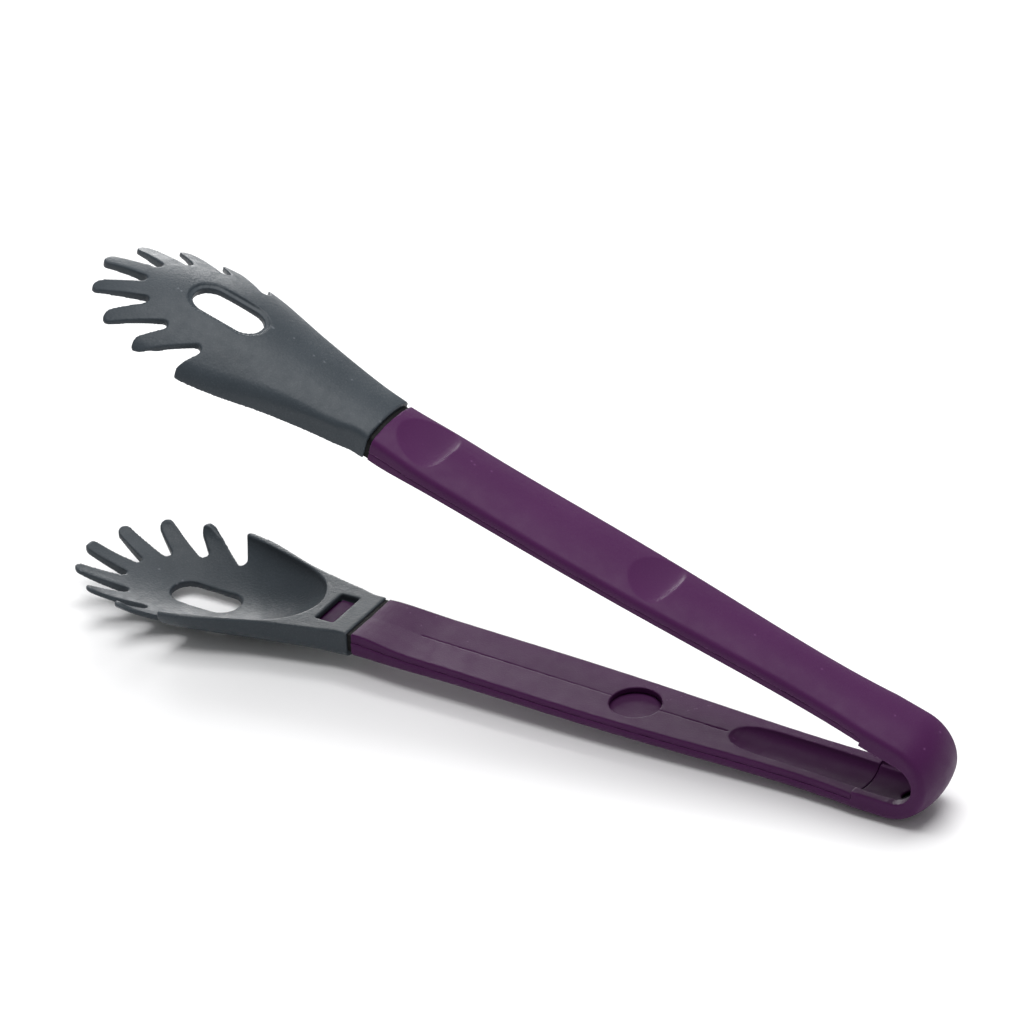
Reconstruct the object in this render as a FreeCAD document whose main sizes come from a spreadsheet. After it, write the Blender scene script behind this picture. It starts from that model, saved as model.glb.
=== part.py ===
import FreeCAD, Part
import math
import os

import Sketcher

# Kitchen tongs: two moulded heads on two hollow grip arms, joined by a folded flexible end
# with a leaf spring inside. Each arm is drawn in its own frame, where X runs from the head
# joint towards the folded end, Y is across and Z is up from the flat inner face. The arms
# are then placed about the centre of the fold, the lower one resting near the ground.

V = FreeCAD.Vector

DIMENSIONS = {
    # whole tool
    "opening_angle": 16.2,
    "rest_tilt": 1.9,
    "fold_reach": 201.8,
    "fold_height": 7.32,
    "fold_setback": 2.7,
    "piece_gap": 0.05,
    # grip arms
    "seam_depth": 3.2,
    "cavity_half_width": 9.9,
    "cavity_floor": 6.4,
    "face_inset": 0.3,
    "crease_depth": 0.25,
    "thumb_place": 102.0,
    "scoop_place": 97.2,
    "scallop_place": 10.3,
    "scoop_reach": 13.0,
    "scoop_span": 40.0,
    "scoop_thickness": 3.25,
    "scoop_lift": 2.4,
    "scoop_lean": 12.0,
    "dome_radius": 20.0,
    "dome_top": 1.4,
    "recess_radius": 8.6,
    "crease_width": 0.5,
    "crease_floor": 1.4,
    # trough in the inner face, and the folded end
    "trough_wall": 0.8,
    "trough_ceiling": 2.0,
    "lip_width": 1.1,
    "lip_depth": 1.6,
    "peep_place": 203.2,
    "peep_radius": 3.2,
    # leaf spring
    "spring_depth": 5.8,
    "spring_thickness": 0.8,
    "spring_width": 10.0,
    "spring_leg": 42.0,
    "spring_room": 0.3,
    "peg_inset": 5.0,
    "peg_radius": 2.0,
    # latch tongue and collar
    "tongue_half_width": 7.0,
    "tongue_top": 3.3,
    "tongue_bottom": 6.1,
    "tongue_reach": 17.0,
    "tongue_tail": 46.0,
    "barb_top": 2.0,
    "barb_near": 9.2,
    "barb_far": 14.4,
    "barb_half_width": 6.6,
    "seat_inset": 4.0,
    "seat_half_width": 5.0,
    "pad_root": 0.5,
    "collar_thickness": 1.6,
    "collar_inset": 0.6,
    # head
    "head_stock": 1.0,
    "socket_room": 0.25,
    "socket_roof": 3.1,
    "hole_place": 65.3,
    "hole_length": 26.0,
    "hole_width": 12.4,
    "hole_ledge": 1.7,
    "ledge_level": 15.2,
    "window_near": 8.7,
    "window_far": 15.8,
    "window_half_width": 8.2,
    "fingertip_radius": 2.5,
    "notch_radius": 1.7,
}

# Place, half width, depth, crown rise and corner radius along a grip arm.
ARM_STATIONS = (
    (0.6, 12.5, 10.7, 2.5, 2.6),
    (11.0, 13.0, 10.2, 2.6, 2.6),
    (20.5, 13.5, 9.7, 2.6, 2.6),
    (30.0, 13.5, 9.3, 2.5, 2.6),
    (60.0, 13.6, 8.6, 2.2, 2.6),
    (120.0, 12.6, 8.5, 2.2, 2.6),
    (187.6, 12.2, 8.5, 2.2, 2.6),
)
ARM_END = len(ARM_STATIONS) - 1

# At the same places, how far the inner face lies below the joint's face, then the width and
# the drop of its edge bevels.
FACE_STATIONS = (
    (0.05, 0.3, 0.3),
    (0.1, 0.3, 0.3),
    (0.8, 0.3, 0.3),
    (0.9, 0.3, 0.3),
    (0.9, 0.3, 0.3),
    (0.9, 0.3, 0.3),
    (1.0, 0.3, 0.3),
)

# Place, half width and depth of the trough in the inner face.
TROUGH_STATIONS = (
    (136.5, 0.6, 0.4),
    (138.2, 3.6, 1.6),
    (140.5, 5.4, 2.6),
    (144.0, 6.6, 3.4),
    (150.0, 7.2, 4.0),
    (188.6, 7.7, 4.2),
)

# The same sizes along the outside of a head, from the joint to the fingertips.
HEAD_STATIONS = (
    (1.0, 12.9, 11.4, 2.6, 2.8),
    (12.0, 14.3, 12.0, 3.2, 3.6),
    (28.0, 17.7, 13.4, 4.4, 5.5),
    (40.0, 21.2, 14.6, 6.2, 7.5),
    (50.0, 24.8, 15.8, 8.6, 9.0),
    (62.0, 28.0, 16.9, 10.4, 9.5),
    (74.0, 29.5, 16.6, 10.8, 9.5),
    (86.0, 29.3, 15.2, 10.2, 8.5),
    (98.0, 26.4, 12.9, 8.4, 7.0),
    (108.0, 21.0, 10.0, 5.6, 5.0),
    (118.0, 12.5, 6.6, 2.8, 2.6),
)

# Place, half width, depth and rim depth along the hollow of a bowl.
BOWL_STATIONS = (
    (19.6, 1.2, 0.5, 0.9),
    (23.0, 9.8, 2.8, 1.0),
    (30.0, 15.6, 6.4, 1.4),
    (44.0, 20.8, 9.6, 2.0),
    (60.0, 25.2, 10.6, 2.7),
    (74.0, 27.0, 10.0, 3.0),
    (86.0, 26.4, 8.5, 3.0),
    (98.0, 23.8, 6.4, 3.0),
    (108.0, 18.6, 4.1, 3.0),
    (118.0, 10.8, 1.3, 3.0),
)

# Half of a head's outline seen from above: the fingertips and the notches between them,
# from the middle finger outwards, then the wing's tip and the edge back to the joint.
FINGERTIPS = ((110.8, 0.0), (106.3, 12.9), (95.4, 22.1), (80.9, 26.4))
NOTCHES = ((96.4, 4.6), (89.9, 13.0), (78.5, 18.6), (63.9, 20.4))
WING_TIP = (64.6, 27.1)
WING_RADIUS = 1.3
WING_EDGE = ((58.0, 27.6), (50.0, 25.4), (40.0, 21.7), (28.0, 17.7), (12.0, 14.2), (1.0, 12.5))

# The crest of a head seen from the side, as place and depth below the inner face: it
# falls along the wings and then rises over each fingertip.
RIM_LINE = ((0.0, 0.0), (20.0, 0.9), (66.0, 3.0))
CREST_LINE = (
    (66.0, 3.0),
    (70.0, 5.6),
    (76.5, 6.4),
    (80.0, 5.0),
    (82.4, 4.5),
    (84.6, 5.4),
    (88.5, 7.0),
    (93.6, 5.5),
    (96.2, 4.9),
    (98.6, 5.6),
    (101.5, 6.6),
    (105.4, 5.5),
    (108.0, 5.1),
    (110.6, 5.3),
    (112.6, 6.0),
    (114.0, 7.8),
    (120.0, 9.0),
)


def make_sheet(document):
    """The driving dimensions, one aliased cell each, with the stations numbered."""
    cells = dict(DIMENSIONS)
    for name, rows in (("arm", ARM_STATIONS), ("head", HEAD_STATIONS)):
        for index, row in enumerate(rows):
            for part, value in zip(("place", "half_width", "depth", "crown", "corner"), row):
                cells[f"{name}_{part}_{index}"] = value
    for index, row in enumerate(FACE_STATIONS):
        for part, value in zip(("face", "bevel", "drop"), row):
            cells[f"arm_{part}_{index}"] = value
    for index, row in enumerate(BOWL_STATIONS):
        for part, value in zip(("place", "half_width", "depth", "rim"), row):
            cells[f"bowl_{part}_{index}"] = value
    for index, row in enumerate(TROUGH_STATIONS):
        for part, value in zip(("place", "half_width", "depth"), row):
            cells[f"trough_{part}_{index}"] = value
    sheet = document.addObject("Spreadsheet::Sheet", "dims")
    for row, (name, value) in enumerate(cells.items(), start=1):
        sheet.set(f"A{row}", name)
        sheet.set(f"B{row}", str(value))
        sheet.setAlias(f"B{row}", name)
    document.recompute()
    return sheet


def bind(thing, **sizes):
    """Binds properties to sheet expressions; a double underscore in a name is a dot."""
    for name, expression in sizes.items():
        thing.setExpression(name.replace("__", "."), expression)


def new_body(document, name):
    return document.addObject("PartDesign::Body", name)


def new_sketch(body, name, role, place="0"):
    """A sketch on one of the body's own origin planes, moved along its normal."""
    sketch = body.newObject("Sketcher::SketchObject", name)
    plane = next(item for item in body.Origin.OriginFeatures if item.Role == role)
    sketch.AttachmentSupport = [(plane, "")]
    sketch.MapMode = "FlatFace"
    sketch.setExpression("AttachmentOffset.Base.z", place)
    return sketch


def name_sizes(sketch, **rules):
    """Adds named size constraints, each a pair of constraint and expression."""
    for name, (rule, expression) in rules.items():
        sketch.renameConstraint(sketch.addConstraint(rule), name)
        sketch.setExpression(f"Constraints.{name}", expression)


def add_polygon(sketch, points):
    """A closed run of straight lines, joined end to end."""
    count = len(points)
    for index in range(count):
        following = points[(index + 1) % count]
        sketch.addGeometry(Part.LineSegment(V(*points[index], 0), V(*following, 0)))
    for index in range(count):
        sketch.addConstraint(Sketcher.Constraint("Coincident", index, 2, (index + 1) % count, 1))


def add_rectangle(sketch, low, high, sizes):
    """A rectangle held by its low corner and its size; sizes are four expressions."""
    add_polygon(sketch, (low, (high[0], low[1]), high, (low[0], high[1])))
    for side, direction in enumerate(("Horizontal", "Vertical", "Horizontal", "Vertical")):
        sketch.addConstraint(Sketcher.Constraint(direction, side))
    rule = Sketcher.Constraint
    name_sizes(
        sketch,
        low_x=(rule("DistanceX", -1, 1, 0, 1, low[0]), sizes[0]),
        low_y=(rule("DistanceY", -1, 1, 0, 1, low[1]), sizes[1]),
        wide=(rule("DistanceX", 0, 1, 0, 2, high[0] - low[0]), sizes[2]),
        tall=(rule("DistanceY", 1, 1, 1, 2, high[1] - low[1]), sizes[3]),
    )


def add_crowned_section(sketch, sizes, top, names, top_name):
    """A flat top, straight sides, round corners and a crowned underside."""
    half_width, depth, crown, corner = sizes
    crown_radius = (half_width**2 + crown**2) / (2 * crown)
    crown_centre = crown_radius - depth
    corner_x = half_width - corner
    drop = math.sqrt((crown_radius - corner) ** 2 - corner_x**2)
    corner_y = crown_centre - drop
    lean = math.atan2(-drop, corner_x)
    normal = V(0, 0, 1)
    right = Part.Circle(V(corner_x, corner_y, 0), normal, corner)
    left = Part.Circle(V(-corner_x, corner_y, 0), normal, corner)
    under = Part.Circle(V(0, crown_centre, 0), normal, crown_radius)
    sketch.addGeometry(Part.LineSegment(V(-half_width, top, 0), V(half_width, top, 0)))
    sketch.addGeometry(Part.LineSegment(V(half_width, top, 0), V(half_width, corner_y, 0)))
    sketch.addGeometry(Part.ArcOfCircle(right, lean, 0))
    sketch.addGeometry(Part.ArcOfCircle(under, -math.pi - lean, lean))
    sketch.addGeometry(Part.ArcOfCircle(left, math.pi, math.pi - lean))
    sketch.addGeometry(Part.LineSegment(V(-half_width, corner_y, 0), V(-half_width, top, 0)))
    rule = Sketcher.Constraint
    sketch.addConstraint(
        [
            rule("Coincident", 0, 2, 1, 1),
            rule("Tangent", 1, 2, 2, 2),
            rule("Tangent", 2, 1, 3, 2),
            rule("Tangent", 3, 1, 4, 2),
            rule("Tangent", 4, 1, 5, 1),
            rule("Coincident", 5, 2, 0, 1),
            rule("Horizontal", 0),
            rule("Vertical", 1),
            rule("Vertical", 5),
            rule("PointOnObject", 3, 3, -2),
            rule("Equal", 2, 4),
        ]
    )
    wide, deep, rise, bend = names
    radius = f"({wide} ^ 2 + {rise} ^ 2) / (2 * {rise})"
    name_sizes(
        sketch,
        width=(rule("DistanceX", 0, 1, 0, 2, 2 * half_width), f"2 * {wide}"),
        corner=(rule("Radius", 2, corner), bend),
        crown=(rule("Radius", 3, crown_radius), radius),
        centre=(rule("DistanceY", -1, 1, 3, 3, crown_centre), f"{radius} - {deep}"),
        top=(rule("DistanceY", -1, 1, 0, 1, top), top_name),
    )


def crowned_loft(body, table, stations, facing, top, top_name):
    """A loft through crowned sections; facing is 1 towards the fold, -1 towards the head."""
    sketches = []
    for index, (place, *sizes) in enumerate(stations):
        sketch = new_sketch(
            body, f"{body.Name}_section_{index}", "YZ_Plane", f"{facing} * dims.{table}_place_{index}"
        )
        names = [f"dims.{table}_{part}_{index}" for part in ("half_width", "depth", "crown", "corner")]
        add_crowned_section(sketch, sizes, top, names, top_name)
        sketches.append(sketch)
    loft = body.newObject("PartDesign::AdditiveLoft", f"{body.Name}_loft")
    loft.Profile = sketches[0]
    loft.Sections = sketches[1:]
    return loft


def pad(body, sketch, length, reverse=False, both=False):
    feature = body.newObject("PartDesign::Pad", f"{sketch.Name}_pad")
    feature.Profile = sketch
    feature.setExpression("Length", length)
    feature.Reversed = reverse
    feature.Midplane = both
    return feature


def pocket(body, sketch, length, reverse=False, both=False):
    feature = body.newObject("PartDesign::Pocket", f"{sketch.Name}_pocket")
    feature.Profile = sketch
    feature.setExpression("Length", length)
    feature.Reversed = reverse
    feature.Midplane = both
    return feature


def box(document, name, low, size):
    """A block from its low corner and its size, each three expressions."""
    block = document.addObject("Part::Box", name)
    for axis, expression in zip("xyz", low):
        block.setExpression(f"Placement.Base.{axis}", expression)
    for side, expression in zip(("Length", "Width", "Height"), size):
        block.setExpression(side, expression)
    return block


def sphere(document, name, radius, place, height):
    ball = document.addObject("Part::Sphere", name)
    bind(ball, Radius=radius, Placement__Base__x=place, Placement__Base__z=height)
    return ball


def cut(document, name, base, tool):
    result = document.addObject("Part::Cut", name)
    result.Base = base
    result.Tool = tool
    return result


def scoop(document, name, place, level):
    """A leaning ellipsoid that cuts a dish in the outer face, steep on the folded end's side."""
    dish = document.addObject("Part::Ellipsoid", name)
    dish.Placement.Rotation = FreeCAD.Rotation(V(0, 1, 0), -DIMENSIONS["scoop_lean"])
    bind(
        dish,
        Radius1="dims.scoop_thickness",
        Radius2="dims.scoop_reach",
        Radius3="dims.scoop_span",
        Placement__Base__x=place,
        Placement__Base__z=f"-{level} - dims.scoop_lift",
    )
    return dish


def outer_shell(document, side):
    """The crowned half of a grip: a deep tray with two dishes, and a dome under the window."""
    body = new_body(document, f"{side}_shell_stock")
    top = -DIMENSIONS["seam_depth"]
    crowned_loft(body, "arm", ARM_STATIONS, 1, top, "-dims.seam_depth")
    cavity = box(
        document,
        f"{side}_shell_cavity",
        ("-dims.tongue_reach", "-dims.cavity_half_width", "-dims.cavity_floor"),
        ("dims.tongue_reach + dims.fold_reach", "2 * dims.cavity_half_width", "dims.cavity_floor"),
    )
    dome = sphere(
        document,
        f"{side}_thumb_dome",
        "dims.dome_radius",
        "dims.thumb_place",
        "-dims.dome_top - dims.dome_radius",
    )
    hollow = cut(document, f"{side}_shell_hollow", cavity, dome)
    tray = cut(document, f"{side}_shell_tray", body, hollow)
    thumb_scoop = scoop(document, f"{side}_thumb_scoop", "dims.scoop_place", "dims.arm_depth_5")
    scooped = cut(document, f"{side}_shell_scooped", tray, thumb_scoop)
    scallop = scoop(document, f"{side}_scallop", "dims.scallop_place", "dims.arm_depth_2")
    return cut(document, f"{side}_outer_shell", scooped, scallop)


def face_section(body, index):
    """One section of the inner plate: bevelled edges and a shallow fold down the middle."""
    sketch = new_sketch(body, f"{body.Name}_section_{index}", "YZ_Plane", f"dims.arm_place_{index}")
    face, bevel, drop = FACE_STATIONS[index]
    half = ARM_STATIONS[index][1] - DIMENSIONS["face_inset"]
    flat = half - bevel
    seam = -DIMENSIONS["seam_depth"]
    crease = -face - DIMENSIONS["crease_depth"]
    shoulder = -face - drop
    points = (
        (-half, seam),
        (half, seam),
        (half, shoulder),
        (flat, -face),
        (0, crease),
        (-flat, -face),
        (-half, shoulder),
    )
    add_polygon(sketch, points)
    rule = Sketcher.Constraint
    sketch.addConstraint(
        [
            rule("Vertical", 1),
            rule("PointOnObject", 4, 1, -2),
            rule("Symmetric", 0, 1, 0, 2, -2),
            rule("Symmetric", 3, 1, 4, 2, -2),
            rule("Symmetric", 2, 1, 5, 2, -2),
        ]
    )
    inside = f"dims.arm_half_width_{index} - dims.face_inset"
    level = f"-dims.arm_face_{index}"
    name_sizes(
        sketch,
        width=(rule("DistanceX", 0, 1, 0, 2, 2 * half), f"2 * ({inside})"),
        face=(rule("DistanceX", 4, 2, 3, 1, 2 * flat), f"2 * ({inside} - dims.arm_bevel_{index})"),
        seam=(rule("DistanceY", -1, 1, 0, 1, seam), "-dims.seam_depth"),
        level=(rule("DistanceY", -1, 1, 2, 2, -face), level),
        shoulder=(rule("DistanceY", -1, 1, 2, 1, shoulder), f"{level} - dims.arm_drop_{index}"),
        crease=(rule("DistanceY", -1, 1, 4, 1, crease), f"{level} - dims.crease_depth"),
    )
    return sketch


def ring_loft(document, name, count, size, straight=False):
    """A loft through upright ellipses; size gives each one's half width, depth, x and z."""
    rings = []
    for index in range(count):
        half_width, depth, place, height = size(index)
        ring = document.addObject("Part::Ellipse", f"{name}_ring_{index}")
        ring.Placement.Rotation = FreeCAD.Rotation(V(1, 1, 1), 120)
        bind(
            ring,
            MajorRadius=half_width,
            MinorRadius=depth,
            Placement__Base__x=place,
            Placement__Base__z=height,
        )
        rings.append(ring)
    loft = document.addObject("Part::Loft", name)
    loft.Sections = rings
    loft.Solid = True
    loft.Ruled = straight
    return loft


def trough(document, name, spread):
    """The rounded hollow in the inner face, or the same spread outwards as its wall."""
    return ring_loft(
        document,
        name,
        len(TROUGH_STATIONS),
        lambda index: (
            f"dims.trough_half_width_{index} + {spread}",
            f"dims.trough_depth_{index} + {spread}",
            f"dims.trough_place_{index}",
            "0",
        ),
        straight=True,
    )


def inner_shell(document, side):
    """The flat half of a grip: a plate with a crease, a round window and a ledged trough."""
    body = new_body(document, f"{side}_inner_plate")
    sketches = [face_section(body, index) for index in range(len(ARM_STATIONS))]
    loft = body.newObject("PartDesign::AdditiveLoft", f"{side}_plate")
    loft.Profile = sketches[0]
    loft.Sections = sketches[1:]

    round_window = new_sketch(body, f"{side}_recess", "XY_Plane", "dims.seam_depth")
    round_window.addGeometry(
        Part.Circle(V(DIMENSIONS["thumb_place"], 0, 0), V(0, 0, 1), DIMENSIONS["recess_radius"])
    )
    rule = Sketcher.Constraint
    round_window.addConstraint(rule("PointOnObject", 0, 3, -1))
    name_sizes(
        round_window,
        place=(rule("DistanceX", -1, 1, 0, 3, DIMENSIONS["thumb_place"]), "dims.thumb_place"),
        size=(rule("Radius", 0, DIMENSIONS["recess_radius"]), "dims.recess_radius"),
    )
    pocket(body, round_window, "3 * dims.seam_depth")

    keel = trough(document, f"{side}_trough_wall", "dims.trough_wall")
    above = box(
        document,
        f"{side}_trough_above",
        ("dims.trough_place_0 - 4 * dims.trough_wall", "-dims.cavity_half_width", "-dims.trough_ceiling"),
        (f"dims.arm_place_{ARM_END}", "2 * dims.cavity_half_width", "5 * dims.trough_ceiling"),
    )
    below = cut(document, f"{side}_trough_keel", keel, above)
    beyond = box(
        document,
        f"{side}_trough_beyond",
        (f"dims.arm_place_{ARM_END}", "-dims.cavity_half_width", "-2 * dims.cavity_floor"),
        (f"dims.arm_place_{ARM_END}", "2 * dims.cavity_half_width", "2 * dims.cavity_floor"),
    )
    trimmed = cut(document, f"{side}_trough_shell", below, beyond)
    peg = document.addObject("Part::Cylinder", f"{side}_spring_peg")
    bind(
        peg,
        Radius="dims.peg_radius",
        Height="dims.cavity_floor - dims.seam_depth",
        Placement__Base__x=f"dims.arm_place_{ARM_END} - dims.spring_leg + dims.peg_inset",
        Placement__Base__z="-dims.cavity_floor",
    )
    joined = document.addObject("Part::MultiFuse", f"{side}_plate_with_keel")
    joined.Shapes = [body, trimmed, peg]
    hollowed = cut(document, f"{side}_plate_hollowed", joined, trough(document, f"{side}_trough", "0"))
    lip = trough(document, f"{side}_lip", "dims.lip_width")
    under = box(
        document,
        f"{side}_lip_under",
        ("dims.trough_place_0 - 4 * dims.lip_width", "-2 * dims.cavity_half_width", "-3 * dims.cavity_floor"),
        (f"dims.arm_place_{ARM_END}", "4 * dims.cavity_half_width", "3 * dims.cavity_floor - dims.lip_depth"),
    )
    ledge = cut(document, f"{side}_lip_ledge", lip, under)
    lipped = cut(document, f"{side}_plate_lipped", hollowed, ledge)
    crease = box(
        document,
        f"{side}_crease",
        ("dims.arm_place_2", "-dims.crease_width / 2", "-dims.crease_floor"),
        ("dims.trough_place_0 - dims.arm_place_2", "dims.crease_width", "2 * dims.crease_floor"),
    )
    return cut(document, f"{side}_inner_shell", lipped, crease)


def latch_tongue(document, side):
    """The tongue that joins head and grip, with the snap barb that shows in the window."""
    body = new_body(document, f"{side}_latch_tongue")
    blade = new_sketch(body, f"{side}_tongue_blade", "XY_Plane", "-dims.tongue_bottom")
    reach, tail, half = (DIMENSIONS[name] for name in ("tongue_reach", "tongue_tail", "tongue_half_width"))
    add_rectangle(
        blade,
        (-reach, -half),
        (tail, half),
        (
            "-dims.tongue_reach",
            "-dims.tongue_half_width",
            "dims.tongue_reach + dims.tongue_tail",
            "2 * dims.tongue_half_width",
        ),
    )
    pad(body, blade, "dims.tongue_bottom - dims.tongue_top")
    barb = new_sketch(body, f"{side}_tongue_barb", "XY_Plane", "-dims.tongue_top - dims.pad_root")
    near, far, half = (DIMENSIONS[name] for name in ("barb_near", "barb_far", "barb_half_width"))
    add_rectangle(
        barb,
        (-far, -half),
        (-near, half),
        (
            "-dims.barb_far",
            "-dims.barb_half_width",
            "dims.barb_far - dims.barb_near",
            "2 * dims.barb_half_width",
        ),
    )
    pad(body, barb, "dims.tongue_top - dims.barb_top + dims.pad_root")
    seat = new_sketch(body, f"{side}_tongue_seat", "XY_Plane", "-dims.tongue_top - dims.pad_root")
    inset, seat_half = (DIMENSIONS[name] for name in ("seat_inset", "seat_half_width"))
    add_rectangle(
        seat,
        (inset, -seat_half),
        (tail - inset, seat_half),
        (
            "dims.seat_inset",
            "-dims.seat_half_width",
            "dims.tongue_tail - 2 * dims.seat_inset",
            "2 * dims.seat_half_width",
        ),
    )
    pad(body, seat, "dims.tongue_top - dims.seam_depth + dims.pad_root")
    return body


def collar(document, side):
    """The thin dark ring between head and grip."""
    body = new_body(document, f"{side}_collar")
    sketch = new_sketch(body, f"{side}_collar_section", "YZ_Plane", "dims.arm_place_0 - dims.piece_gap")
    inset = DIMENSIONS["collar_inset"]
    _, half_width, depth, crown, corner = ARM_STATIONS[0]
    add_crowned_section(
        sketch,
        (half_width - inset, depth - inset, crown, corner),
        -inset,
        (
            "(dims.arm_half_width_0 - dims.collar_inset)",
            "(dims.arm_depth_0 - dims.collar_inset)",
            "dims.arm_crown_0",
            "dims.arm_corner_0",
        ),
        "-dims.collar_inset",
    )
    pad(body, sketch, "dims.collar_thickness - 2 * dims.piece_gap", reverse=True)
    opening = new_sketch(body, f"{side}_collar_opening", "YZ_Plane", "dims.arm_place_0 + 1")
    half = DIMENSIONS["tongue_half_width"] + DIMENSIONS["socket_room"]
    low = -DIMENSIONS["tongue_bottom"] - DIMENSIONS["socket_room"]
    high = -DIMENSIONS["tongue_top"] + DIMENSIONS["socket_room"]
    add_rectangle(
        opening,
        (-half, low),
        (half, high),
        (
            "-dims.tongue_half_width - dims.socket_room",
            "-dims.tongue_bottom - dims.socket_room",
            "2 * (dims.tongue_half_width + dims.socket_room)",
            "dims.tongue_bottom - dims.tongue_top + 2 * dims.socket_room",
        ),
    )
    pocket(body, opening, "2 * dims.collar_thickness + 2")
    return body


def corner_circles():
    """Centre, radius and turn (1 round a tip, -1 round a notch) along the whole outline."""
    near_half = [(WING_TIP, WING_RADIUS, 1)]
    for notch, tip in zip(reversed(NOTCHES), reversed(FINGERTIPS)):
        near_half.append((notch, DIMENSIONS["notch_radius"], -1))
        near_half.append((tip, DIMENSIONS["fingertip_radius"], 1))
    far_half = [(place, radius, turn) for place, radius, turn in reversed(near_half[:-1])]
    mirrored = [((x, -y), radius, turn) for (x, y), radius, turn in near_half]
    return [(V(*place, 0), radius, turn) for place, radius, turn in mirrored + far_half]


def head_outline():
    """The head seen from above: round tips and notches joined by straight tangents."""
    circles = corner_circles()
    lines = []
    for (start, start_radius, turn), (end, end_radius, _) in zip(circles, circles[1:]):
        along = end - start
        heading = math.atan2(along.y, along.x)
        heading += turn * math.asin((start_radius + end_radius) / along.Length)
        right = V(math.sin(heading), -math.cos(heading), 0)
        lines.append((start + right * turn * start_radius, end - right * turn * end_radius))

    edge = [V(x, y, 0) for x, y in WING_EDGE]
    wing = circles[-1][0]
    down_edge = (edge[0] - wing).normalize()
    wing_end = wing + V(down_edge.y, -down_edge.x, 0) * WING_RADIUS
    leaving = [start for start, _ in lines] + [wing_end]
    arriving = [V(wing_end.x, -wing_end.y, 0)] + [end for _, end in lines]

    shapes = [Part.LineSegment(start, end) for start, end in lines]
    for (centre, radius, turn), first, last in zip(circles, arriving, leaving):
        start = math.atan2(first.y - centre.y, first.x - centre.x)
        end = math.atan2(last.y - centre.y, last.x - centre.x)
        middle = start + turn * ((end - start) * turn % (2 * math.pi)) / 2
        halfway = centre + V(math.cos(middle), math.sin(middle), 0) * radius
        shapes.append(Part.Arc(first, halfway, last))
    for turn in (1, -1):
        curve = Part.BSplineCurve()
        curve.interpolate([V(point.x, turn * point.y, 0) for point in [wing_end] + edge])
        shapes.append(curve)
    joint = edge[-1]
    shapes.append(Part.LineSegment(joint, V(joint.x, -joint.y, 0)))
    for shape in shapes:
        shape.mirror(V(0, 0, 0), V(0, 1, 0))
    return shapes


def extruded(document, name, role, place, shapes, length, both=False):
    """A body padded from a closed run of lines and arcs."""
    body = new_body(document, name)
    sketch = new_sketch(body, f"{name}_outline", role, place)
    for shape in shapes:
        sketch.addGeometry(shape)
    pad(body, sketch, length, both=both)
    return body


def bowl(document, side):
    """The hollow of a head, lofted through ellipses that hang from the rim."""
    return ring_loft(
        document,
        f"{side}_bowl",
        len(BOWL_STATIONS),
        lambda index: (
            f"dims.bowl_half_width_{index}",
            f"dims.bowl_depth_{index}",
            f"-dims.bowl_place_{index}",
            f"-dims.bowl_rim_{index}",
        ),
    )


def stadium(margin):
    """The outline of the oval hole in a palm, with a margin all round it."""
    radius = DIMENSIONS["hole_width"] / 2 + margin
    reach = (DIMENSIONS["hole_length"] - DIMENSIONS["hole_width"]) / 2
    first = V(reach - DIMENSIONS["hole_place"], 0, 0)
    second = V(-reach - DIMENSIONS["hole_place"], 0, 0)
    side = V(0, radius, 0)
    end = V(radius, 0, 0)
    return [
        Part.Arc(first - side, first + end, first + side),
        Part.LineSegment(first + side, second + side),
        Part.Arc(second + side, second - end, second - side),
        Part.LineSegment(second - side, first - side),
    ]


def rim_waste():
    """The side view of what is trimmed away above the rim and the fingertips."""
    line = [V(-place, -drop, 0) for place, drop in RIM_LINE]
    crest = [V(-place, -drop, 0) for place, drop in CREST_LINE]
    above = 4 * DIMENSIONS["head_stock"]
    front = [V(above, above, 0), V(above, line[0].y, 0)] + line
    shapes = [Part.LineSegment(start, end) for start, end in zip(front, front[1:])]
    curve = Part.BSplineCurve()
    curve.interpolate(crest)
    shapes.append(curve)
    back = [crest[-1], V(crest[-1].x, above, 0), front[0]]
    shapes += [Part.LineSegment(start, end) for start, end in zip(back, back[1:])]
    return shapes


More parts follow.
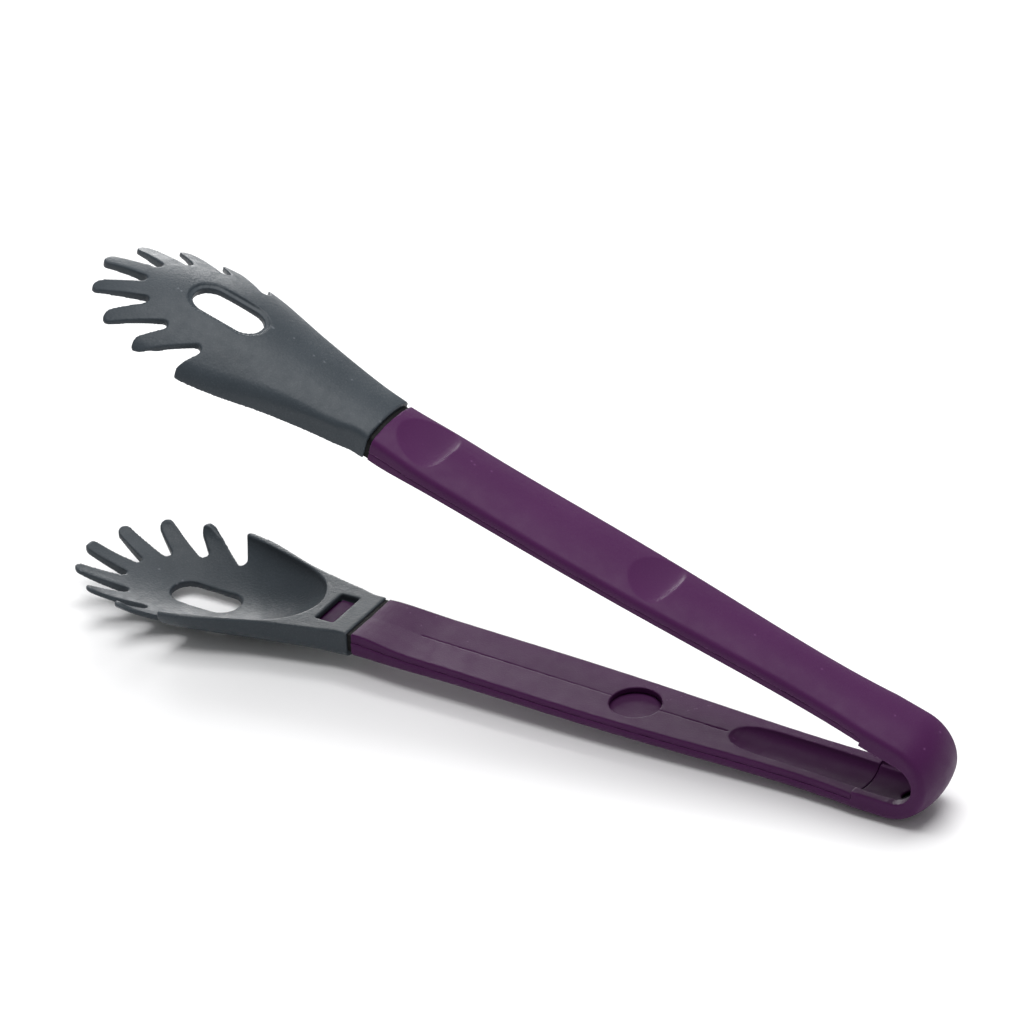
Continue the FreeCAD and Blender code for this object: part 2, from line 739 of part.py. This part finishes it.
def tongs_head(document, side):
    """A moulded head: a dished palm with fingers, an oval hole and a latch window."""
    stock = new_body(document, f"{side}_head_stock")
    crowned_loft(stock, "head", HEAD_STATIONS, -1, DIMENSIONS["head_stock"], "dims.head_stock")
    outline = extruded(
        document, f"{side}_head_plan", "XY_Plane", "-2 * dims.head_depth_5", head_outline(),
        "3 * dims.head_depth_5",
    )
    fingered = document.addObject("Part::MultiCommon", f"{side}_head_fingered")
    fingered.Shapes = [stock, outline]
    waste = extruded(
        document, f"{side}_head_waste", "XZ_Plane", "0", rim_waste(),
        "4 * dims.head_half_width_5", both=True,
    )
    rimmed = cut(document, f"{side}_head_rimmed", fingered, waste)
    dished = cut(document, f"{side}_head_dished", rimmed, bowl(document, side))
    oval = extruded(
        document, f"{side}_head_oval", "XY_Plane", "-2 * dims.head_depth_5", stadium(0),
        "3 * dims.head_depth_5",
    )
    through = cut(document, f"{side}_head_through", dished, oval)
    ledge = extruded(
        document, f"{side}_head_ledge", "XY_Plane", "-2 * dims.head_depth_5",
        stadium(DIMENSIONS["hole_ledge"]), "2 * dims.head_depth_5 - dims.ledge_level",
    )
    holed = cut(document, f"{side}_head_holed", through, ledge)
    window = box(
        document,
        f"{side}_head_window",
        ("-dims.window_far", "-dims.window_half_width", "-dims.socket_roof - dims.piece_gap"),
        ("dims.window_far - dims.window_near", "2 * dims.window_half_width", "2 * dims.socket_roof"),
    )
    windowed = cut(document, f"{side}_head_windowed", holed, window)
    socket = box(
        document,
        f"{side}_head_socket",
        (
            "-dims.tongue_reach - dims.socket_room",
            "-dims.tongue_half_width - dims.socket_room",
            "-dims.tongue_bottom - dims.socket_room",
        ),
        (
            "dims.tongue_reach + 2 * dims.socket_room",
            "2 * (dims.tongue_half_width + dims.socket_room)",
            "dims.tongue_bottom + dims.socket_room - dims.socket_roof",
        ),
    )
    return cut(document, f"{side}_head", windowed, socket)


def fold_turn():
    """How far the fold turns, in radians, from the lower arm to the upper one."""
    return math.radians(180 - DIMENSIONS["opening_angle"])


def fold_path(leg_start, depth):
    """A side view of the fold at a depth below the inner faces: leg, round end, leg.

    The round end is centred a little nearer to the heads than the eye of the fold is, on
    the line midway between the arms, which makes the wall thinner at the far end.
    """
    half_opening = math.radians(DIMENSIONS["opening_angle"] / 2)
    setback = DIMENSIONS["fold_setback"]
    base = DIMENSIONS["fold_height"] + setback * math.sin(half_opening)
    centre = V(DIMENSIONS["fold_reach"] - setback * math.cos(half_opening), base, 0)
    radius = base + depth
    leg = centre.x - leg_start
    turn = fold_turn()
    angles = (0, turn / 2, turn)
    points = [centre + V(math.sin(angle), -math.cos(angle), 0) * radius for angle in angles]
    outgoing = V(math.cos(turn), math.sin(turn), 0)
    return [
        Part.LineSegment(points[0] - V(leg, 0, 0), points[0]),
        Part.Arc(*points),
        Part.LineSegment(points[2], points[2] + outgoing * leg),
    ]


def upper_flip():
    """Takes the lower arm's frame to the upper arm's, about the centre of the fold."""
    centre = V(DIMENSIONS["fold_reach"], 0, DIMENSIONS["fold_height"])
    over = FreeCAD.Rotation(V(1, 0, 0), 180)
    swing = FreeCAD.Rotation(V(0, 1, 0), DIMENSIONS["opening_angle"])
    back = FreeCAD.Placement(-centre, FreeCAD.Rotation())
    return FreeCAD.Placement(centre, swing * over) * back


def leaf_spring(document):
    """A folded steel leaf whose legs lie in the arms, each with a hole for a peg."""
    body = new_body(document, "leaf_spring_strip")
    start = ARM_STATIONS[-1][0] - DIMENSIONS["spring_leg"]
    half = DIMENSIONS["spring_thickness"] / 2
    inner = fold_path(start, DIMENSIONS["spring_depth"] - half)
    outer = fold_path(start, DIMENSIONS["spring_depth"] + half)
    sketch = new_sketch(body, "leaf_spring_outline", "XZ_Plane")
    ends = [
        Part.LineSegment(inner[0].StartPoint, outer[0].StartPoint),
        Part.LineSegment(inner[-1].EndPoint, outer[-1].EndPoint),
    ]
    for shape in inner + outer + ends:
        sketch.addGeometry(shape)
    pad(body, sketch, "dims.spring_width", both=True)
    result = body
    hole_place = start + DIMENSIONS["peg_inset"]
    room = DIMENSIONS["peg_radius"] + DIMENSIONS["spring_room"]
    for name, frame in (("lower", FreeCAD.Placement()), ("upper", upper_flip())):
        hole = document.addObject("Part::Cylinder", f"{name}_spring_hole")
        bind(hole, Radius="dims.peg_radius + dims.spring_room", Height="2 * dims.spring_depth")
        hole.Placement = frame * FreeCAD.Placement(
            V(hole_place, 0, -1.5 * DIMENSIONS["spring_depth"]), FreeCAD.Rotation()
        )
        result = cut(document, f"leaf_spring_with_{name}_hole", result, hole)
    return result


def fold_sweep(body, name, sketch, path, cutting=False):
    kind = "PartDesign::SubtractivePipe" if cutting else "PartDesign::AdditivePipe"
    feature = body.newObject(kind, name)
    feature.Profile = sketch
    feature.Spine = path
    return feature


def add_half_ellipse(sketch, half_width, depth, top):
    """A trough section: half an ellipse below the inner face, with a block above it."""
    below = Part.ArcOfEllipse(Part.Ellipse(V(0, 0, 0), half_width, depth), math.pi, 2 * math.pi)
    sketch.addGeometry(below)
    corners = [V(half_width, 0, 0), V(half_width, top, 0), V(-half_width, top, 0), V(-half_width, 0, 0)]
    for start, end in zip(corners, corners[1:]):
        sketch.addGeometry(Part.LineSegment(start, end))


def bend_sleeve(document):
    """The flexible folded end: a crowned section swept round the fold, hollow for the leaf.

    The trough and its ledge run on round the inside, where a round hole opens to the leaf.
    """
    body = new_body(document, "bend_sleeve_sweep")
    last = ARM_END
    start = f"dims.arm_place_{last} + dims.piece_gap"
    place, half_width, depth, crown, corner = ARM_STATIONS[last]
    path = new_sketch(body, "bend_sleeve_path", "XZ_Plane")
    for shape in fold_path(place + DIMENSIONS["piece_gap"], 0):
        path.addGeometry(shape)
    section = new_sketch(body, "bend_sleeve_section", "YZ_Plane", start)
    add_crowned_section(
        section,
        (half_width, depth, crown, corner),
        0,
        [f"dims.arm_{part}_{last}" for part in ("half_width", "depth", "crown", "corner")],
        "0",
    )
    fold_sweep(body, "bend_sleeve_solid", section, path)

    end = len(TROUGH_STATIONS) - 1
    _, trough_half_width, trough_depth = TROUGH_STATIONS[end]
    ceiling = DIMENSIONS["trough_ceiling"]
    channel = new_sketch(body, "bend_sleeve_trough", "YZ_Plane", start)
    add_half_ellipse(channel, trough_half_width, trough_depth, ceiling)
    fold_sweep(body, "bend_sleeve_trough_cut", channel, path, cutting=True)
    lip = new_sketch(body, "bend_sleeve_lip", "YZ_Plane", start)
    add_rectangle(
        lip,
        (-trough_half_width - DIMENSIONS["lip_width"], -DIMENSIONS["lip_depth"]),
        (trough_half_width + DIMENSIONS["lip_width"], ceiling),
        (
            f"-dims.trough_half_width_{end} - dims.lip_width",
            "-dims.lip_depth",
            f"2 * (dims.trough_half_width_{end} + dims.lip_width)",
            "dims.lip_depth + dims.trough_ceiling",
        ),
    )
    fold_sweep(body, "bend_sleeve_lip_cut", lip, path, cutting=True)

    room = new_sketch(body, "bend_sleeve_room", "YZ_Plane", start)
    half = DIMENSIONS["spring_width"] / 2 + DIMENSIONS["spring_room"]
    tall = DIMENSIONS["spring_thickness"] / 2 + DIMENSIONS["spring_room"]
    middle = DIMENSIONS["spring_depth"]
    add_rectangle(
        room,
        (-half, -middle - tall),
        (half, -middle + tall),
        (
            "-dims.spring_width / 2 - dims.spring_room",
            "-dims.spring_depth - dims.spring_thickness / 2 - dims.spring_room",
            "dims.spring_width + 2 * dims.spring_room",
            "dims.spring_thickness + 2 * dims.spring_room",
        ),
    )
    fold_sweep(body, "bend_sleeve_room_cut", room, path, cutting=True)

    eye = document.addObject("Part::Cylinder", "bend_sleeve_eye")
    eye.Placement.Rotation = FreeCAD.Rotation(V(1, 0, 0), 90)
    bind(
        eye,
        Radius="dims.fold_height",
        Height=f"4 * dims.arm_half_width_{last}",
        Placement__Base__x="dims.fold_reach",
        Placement__Base__y=f"2 * dims.arm_half_width_{last}",
        Placement__Base__z="dims.fold_height",
    )
    peep = document.addObject("Part::Cylinder", "bend_sleeve_peep")
    bind(
        peep,
        Radius="dims.peep_radius",
        Height="dims.spring_depth + dims.fold_height",
        Placement__Base__x="dims.peep_place",
        Placement__Base__z="-dims.spring_depth",
    )
    return cut(document, "bend_sleeve", cut(document, "bend_sleeve_eyed", body, eye), peep)


def main():
    document = FreeCAD.newDocument("tongs")
    make_sheet(document)
    tilt = FreeCAD.Placement(V(0, 0, 0), FreeCAD.Rotation(V(0, 1, 0), DIMENSIONS["rest_tilt"]))
    placed = []
    for side, frame in (("lower", tilt), ("upper", tilt * upper_flip())):
        pieces = {
            f"{side}_head": tongs_head(document, side),
            f"{side}_collar": collar(document, side),
            f"{side}_latch_tongue": latch_tongue(document, side),
            f"{side}_outer_shell": outer_shell(document, side),
            f"{side}_inner_shell": inner_shell(document, side),
        }
        placed += [(name, piece, frame) for name, piece in pieces.items()]
    placed.append(("leaf_spring", leaf_spring(document), tilt))
    placed.append(("bend_sleeve", bend_sleeve(document), tilt))
    document.recompute()

    for _, piece, frame in placed:
        piece.Placement = frame
    document.recompute()
    whole = Part.makeCompound([piece.Shape for _, piece, _ in placed]).optimalBoundingBox()
    base = V(-(whole.XMin + whole.XMax) / 2, -(whole.YMin + whole.YMax) / 2, -whole.ZMin)
    to_origin = FreeCAD.Placement(base, FreeCAD.Rotation())
    for name, piece, frame in placed:
        piece.Placement = to_origin * frame
        piece.Label = name
    document.recompute()

    for thing in document.Objects:
        if {"Invalid", "Error"} & set(thing.State):
            raise RuntimeError(f"{thing.Name} did not build: {thing.State}")
    os.makedirs("parts", exist_ok=True)
    for name, piece, _ in placed:
        if piece.Shape.isNull() or not piece.Shape.isValid():
            raise RuntimeError(f"{name} is not a valid shape")
        if len(piece.Shape.Solids) != 1:
            raise RuntimeError(f"{name} has {len(piece.Shape.Solids)} solids")
        piece.Shape.exportStep(f"parts/{name}.step")
        print(name, "volume", round(piece.Shape.Volume, 1))
    centre = to_origin * tilt * V(DIMENSIONS["fold_reach"], 0, DIMENSIONS["fold_height"])
    print("fold centre", centre)


main()
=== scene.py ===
import math

import bmesh
import bpy
from mathutils import Matrix, Vector


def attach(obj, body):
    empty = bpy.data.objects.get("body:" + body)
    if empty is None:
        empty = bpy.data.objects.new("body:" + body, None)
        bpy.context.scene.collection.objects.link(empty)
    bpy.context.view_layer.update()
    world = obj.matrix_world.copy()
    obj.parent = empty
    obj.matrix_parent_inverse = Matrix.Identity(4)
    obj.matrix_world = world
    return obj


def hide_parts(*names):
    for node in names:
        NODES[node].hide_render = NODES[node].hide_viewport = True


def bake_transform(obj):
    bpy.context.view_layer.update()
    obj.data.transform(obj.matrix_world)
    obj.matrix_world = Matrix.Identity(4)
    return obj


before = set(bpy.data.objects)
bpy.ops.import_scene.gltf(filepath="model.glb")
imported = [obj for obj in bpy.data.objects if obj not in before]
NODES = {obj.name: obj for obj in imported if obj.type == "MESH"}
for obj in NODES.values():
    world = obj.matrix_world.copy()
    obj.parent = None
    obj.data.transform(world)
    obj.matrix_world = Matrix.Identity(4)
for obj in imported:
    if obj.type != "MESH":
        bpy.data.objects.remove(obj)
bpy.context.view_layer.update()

MM = 0.001
FLOOR_REACH = 6.0
FLOOR_DROP = 0.4 * MM
AIM = (0, 0, 0.05)                  # near the middle of the object, which the lights face

WHITE = (1, 1, 1, 1)
FLOOR_COLOR = (0.93, 0.93, 0.935, 1)
WORN_AND_HIGHLIT_EDGE = (0.53, 0.66)            # pointiness where the paler edge (partly wear, partly a painted highlight) starts and where it is full
SMOOTHING = 0.5                     # how far a smoothing pass moves a corner to its neighbours


# ---------------------------------------------------------------- camera, floor and light

def make_camera(place, toward, up, lens):
    """A camera at a place, looking along toward, with up the picture's upward direction."""
    data = bpy.data.cameras.new("camera")
    data.lens = lens
    data.sensor_width = 36.0
    data.clip_end = 50.0
    camera = bpy.data.objects.new("camera", data)
    bpy.context.scene.collection.objects.link(camera)
    back = -Vector(toward).normalized()
    right = Vector(up).cross(back).normalized()
    rise = back.cross(right)
    turn = Matrix((right, rise, back)).transposed().to_4x4()
    camera.matrix_world = Matrix.Translation(Vector(place)) @ turn
    bpy.context.scene.camera = camera


def make_floor():
    """A plain pale floor under the object."""
    mesh = bpy.data.meshes.new("floor")
    reach = FLOOR_REACH
    corners = [(-reach, -reach, 0), (reach, -reach, 0), (reach, reach, 0), (-reach, reach, 0)]
    mesh.from_pydata(corners, [], [(0, 1, 2, 3)])
    floor = bpy.data.objects.new("floor", mesh)
    floor.location.z = -FLOOR_DROP
    bpy.context.scene.collection.objects.link(floor)
    material = bpy.data.materials.new("floor")
    material.use_nodes = True
    shader = material.node_tree.nodes["Principled BSDF"]
    shader.inputs["Base Color"].default_value = FLOOR_COLOR
    shader.inputs["Roughness"].default_value = 0.9
    shader.inputs["Specular IOR Level"].default_value = 0.1
    mesh.materials.append(material)


def make_light(name, place, size, power):
    """A square soft light at a place, turned to face the object."""
    data = bpy.data.lights.new(name, "AREA")
    data.shape = "SQUARE"
    data.size = size
    data.energy = power
    light = bpy.data.objects.new(name, data)
    bpy.context.scene.collection.objects.link(light)
    light.location = place
    direction = Vector(AIM) - Vector(place)
    light.rotation_euler = direction.to_track_quat("-Z", "Y").to_euler()


def make_world(strength):
    """An even pale surround."""
    world = bpy.data.worlds.new("studio")
    world.use_nodes = True
    background = world.node_tree.nodes["Background"]
    background.inputs["Color"].default_value = WHITE
    background.inputs["Strength"].default_value = strength
    bpy.context.scene.world = world


make_camera(place=(0.98377, -1.47065, 1.14655), toward=(-0.47198, 0.71168, -0.52033),
            up=(-0.22815, 0.47150, 0.85184), lens=226.53)
make_floor()
make_world(0.3)
make_light("overhead", place=(0.0, 0.2, 1.7), size=1.6, power=36)
make_light("low_back", place=(-1.05, 1.45, 0.5), size=0.7, power=13)
bpy.context.scene.view_settings.view_transform = "Standard"


# ---------------------------------------------------------------- materials

class Finish:
    """A material under construction: its shader, its coordinates and short ways to add nodes."""

    def __init__(self, name):
        self.material = bpy.data.materials.new(name)
        self.material.use_nodes = True
        self.tree = self.material.node_tree
        self.shader = self.tree.nodes["Principled BSDF"]
        self.coords = self.tree.nodes.new("ShaderNodeTexCoord").outputs["Object"]
        self.normal = None

    def node(self, kind, **settings):
        """A new node of a kind, with its own settings."""
        made = self.tree.nodes.new(kind)
        for key, value in settings.items():
            setattr(made, key, value)
        return made

    def link(self, source, target):
        self.tree.links.new(source, target)

    def set(self, **values):
        """Numbers on the shader's own sockets, with _ for the spaces in their names."""
        for key, value in values.items():
            self.shader.inputs[key.replace("_", " ")].default_value = value

    def stretched(self, scale):
        """Coordinates scaled along each axis, so that a noise in them is drawn out."""
        mapping = self.node("ShaderNodeMapping")
        mapping.inputs["Scale"].default_value = scale
        self.link(self.coords, mapping.inputs["Vector"])
        return mapping.outputs["Vector"]

    def noise(self, size, detail=2.0, vector=None):
        """Noise with blotches of a size in metres."""
        made = self.node("ShaderNodeTexNoise")
        made.inputs["Scale"].default_value = 1 / size
        made.inputs["Detail"].default_value = detail
        self.link(vector or self.coords, made.inputs["Vector"])
        return made.outputs["Fac"]

    def cells(self, size):
        """Rounded cells of a size in metres, as in a leather or pebble grain."""
        made = self.node("ShaderNodeTexVoronoi", feature="SMOOTH_F1")
        made.inputs["Scale"].default_value = 1 / size
        made.inputs["Smoothness"].default_value = 0.6
        self.link(self.coords, made.inputs["Vector"])
        return made.outputs["Distance"]

    def mapped(self, source, low, high, start=0.3, end=0.7):
        """source between start and end, mapped to low to high."""
        made = self.node("ShaderNodeMapRange")
        for key, value in (("From Min", start), ("From Max", end), ("To Min", low), ("To Max", high)):
            made.inputs[key].default_value = value
        self.link(source, made.inputs["Value"])
        return made.outputs["Result"]

    def mixed(self, factor, first, second):
        """A colour between two, each one a colour or another node's output."""
        made = self.node("ShaderNodeMix", data_type="RGBA")
        self.link(factor, made.inputs["Factor"])
        for key, value in (("A", first), ("B", second)):
            socket = next(s for s in made.inputs if s.name == key and s.type == "RGBA")
            if isinstance(value, tuple):
                socket.default_value = (*value, 1)
            else:
                self.link(value, socket)
        return next(s for s in made.outputs if s.type == "RGBA")

    def bump(self, height, depth, strength=1.0):
        """Adds a relief of a depth in metres over those before it."""
        made = self.node("ShaderNodeBump")
        made.inputs["Strength"].default_value = strength
        made.inputs["Distance"].default_value = depth
        self.link(height, made.inputs["Height"])
        if self.normal:
            self.link(self.normal, made.inputs["Normal"])
        self.normal = made.outputs["Normal"]

    def edges(self):
        """How far the surface is on a raised edge, from 0 to 1, for edges painted paler as wear and
        as a painted highlight.
        """
        point = self.node("ShaderNodeNewGeometry").outputs["Pointiness"]
        return self.mapped(point, 0.0, 1.0, *WORN_AND_HIGHLIT_EDGE)

    def done(self, color, rough):
        """Connects colour, roughness and relief to the shader and gives the material."""
        self.link(color, self.shader.inputs["Base Color"])
        self.link(rough, self.shader.inputs["Roughness"])
        self.link(self.normal, self.shader.inputs["Normal"])
        return self.material


def nylon_finish():
    """Dark slate glass-filled nylon with a fine pebble grain and paler edges, partly wear and partly
    a painted highlight.
    """
    made = Finish("nylon")
    made.set(Specular_IOR_Level=0.22)
    blotch = made.noise(14 * MM, 3)
    body = made.mixed(made.mapped(blotch, 0, 1), (0.034, 0.043, 0.052), (0.041, 0.051, 0.061))
    fleck = made.mapped(made.noise(0.5 * MM, 1), 0, 0.3, 0.55, 0.75)
    body = made.mixed(fleck, body, (0.075, 0.085, 0.098))
    # Paler on raised edges: partly wear, partly a painted highlight.
    body = made.mixed(made.edges(), body, (0.10, 0.112, 0.128))
    made.bump(made.noise(9 * MM, 1), 0.03 * MM)
    made.bump(made.cells(1.0 * MM), 0.05 * MM)
    made.bump(made.noise(0.22 * MM, 2), 0.02 * MM)
    return made.done(body, made.mapped(made.noise(3 * MM, 3), 0.36, 0.48))


def grip_finish():
    """Soft-touch aubergine with a faint sheen, fine grain and slightly paler edges, partly wear and
    partly a painted highlight.
    """
    made = Finish("soft_grip")
    made.set(Sheen_Weight=0.02, Sheen_Roughness=0.45, Specular_IOR_Level=0.12)
    made.set(Sheen_Tint=(0.75, 0.6, 0.8, 1))
    blotch = made.noise(30 * MM, 2)
    body = made.mixed(made.mapped(blotch, 0, 1), (0.056, 0.010, 0.059), (0.063, 0.012, 0.066))
    speck = made.mapped(made.noise(0.4 * MM, 1), 0, 0.25, 0.55, 0.78)
    body = made.mixed(speck, body, (0.09, 0.025, 0.095))
    # Paler on raised edges: partly wear, partly a painted highlight.
    body = made.mixed(made.edges(), body, (0.11, 0.035, 0.115))
    made.bump(made.noise(12 * MM, 1), 0.012 * MM)
    made.bump(made.cells(0.55 * MM), 0.02 * MM)
    made.bump(made.noise(0.16 * MM, 2), 0.012 * MM)
    return made.done(body, made.mapped(made.noise(5 * MM, 3), 0.42, 0.54))


def core_finish():
    """The harder aubergine plastic of the tongue, with a satin moulded surface."""
    made = Finish("grip_core")
    made.set(Specular_IOR_Level=0.12)
    blotch = made.mapped(made.noise(8 * MM, 2), 0, 1)
    body = made.mixed(blotch, (0.034, 0.004, 0.038), (0.046, 0.007, 0.050))
    made.bump(made.noise(0.3 * MM, 2), 0.012 * MM)
    return made.done(body, made.mapped(made.noise(2 * MM, 2), 0.5, 0.6))


def collar_and_gap_shadow_finish():
    """Matt black rubber with a faint powdery bloom, kept near-black so that it is also painted shadow
    in the gap between head and grip.
    """
    made = Finish("collar_rubber")
    made.set(Specular_IOR_Level=0.15)
    bloom = made.mapped(made.noise(1.5 * MM, 3), 0, 1)
    # Near-black: the rubber's own colour and painted shadow of the gap between head and grip.
    body = made.mixed(bloom, (0.002, 0.002, 0.0022), (0.005, 0.005, 0.0055))
    made.bump(made.noise(0.25 * MM, 2), 0.02 * MM)
    return made.done(body, made.mapped(made.noise(1 * MM, 2), 0.55, 0.72))


def steel_finish():
    """Blued spring steel strip, rolled along its length."""
    made = Finish("spring_steel")
    made.set(Metallic=1.0)
    streak = made.noise(0.25 * MM, 3, made.stretched((0.02, 1, 0.02)))
    body = made.mixed(made.mapped(streak, 0, 1), (0.06, 0.06, 0.065), (0.11, 0.11, 0.12))
    made.bump(streak, 0.006 * MM)
    return made.done(body, made.mapped(streak, 0.26, 0.42))


FINISHES = {
    "nylon": nylon_finish(),
    "soft_grip": grip_finish(),
    "grip_core": core_finish(),
    # The collar finish is near-black, partly painted shadow of the gap between head and grip.
    "collar_rubber": collar_and_gap_shadow_finish(),
    "spring_steel": steel_finish(),
}


# ---------------------------------------------------------------- pieces

def evaluated_mesh(piece):
    """A new mesh of the piece with its modifiers applied."""
    graph = bpy.context.evaluated_depsgraph_get()
    return bpy.data.meshes.new_from_object(piece.evaluated_get(graph))


def softened(node_names, piece_name, slot_name, voxel, passes):
    """CAD nodes joined as one piece, its edges eased and its facets smoothed as moulding does."""
    shell = bmesh.new()
    for name in node_names:
        shell.from_mesh(NODES[name].data)
    mesh = bpy.data.meshes.new(piece_name)
    shell.to_mesh(mesh)
    shell.free()
    piece = bpy.data.objects.new(piece_name, mesh)
    bpy.context.scene.collection.objects.link(piece)
    remesh = piece.modifiers.new("remesh", "REMESH")
    remesh.mode = "VOXEL"
    remesh.voxel_size = voxel
    remesh.use_smooth_shade = True
    smooth = piece.modifiers.new("smooth", "SMOOTH")
    smooth.factor = SMOOTHING
    smooth.iterations = passes
    moulded = evaluated_mesh(piece)
    piece.modifiers.clear()
    piece.data = moulded
    piece.data.materials.clear()
    piece.data.materials.append(FINISHES[slot_name])
    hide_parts(*node_names)
    return piece


def bent(piece):
    """Bakes the piece's placement into its mesh; the piece is not tied to either arm."""
    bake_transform(piece)


for side in ("lower", "upper"):
    body = f"{side}_arm"
    head = softened([f"{side}_head"], f"{side}_head_moulding", "nylon", voxel=0.4 * MM, passes=4)
    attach(head, body)
    face_nodes = [f"{side}_inner_shell"]
    face = softened(face_nodes, f"{side}_grip_face", "soft_grip", voxel=0.28 * MM, passes=1)
    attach(face, body)

# The backs of both grips and the fold between them show as one unbroken skin.
skin_nodes = ["lower_outer_shell", "bend_sleeve", "upper_outer_shell"]
bent(softened(skin_nodes, "grip_skin", "soft_grip", voxel=0.4 * MM, passes=3))
bent(softened(["leaf_spring"], "fold_leaf", "spring_steel", voxel=0.25 * MM, passes=1))

# The collars and the latch tongues stay as CAD nodes and only take a finish.
for name, node in NODES.items():
    for word, slot_name in (("collar", "collar_rubber"), ("latch_tongue", "grip_core")):
        if word in name:
            node.data.materials.clear()
            node.data.materials.append(FINISHES[slot_name])
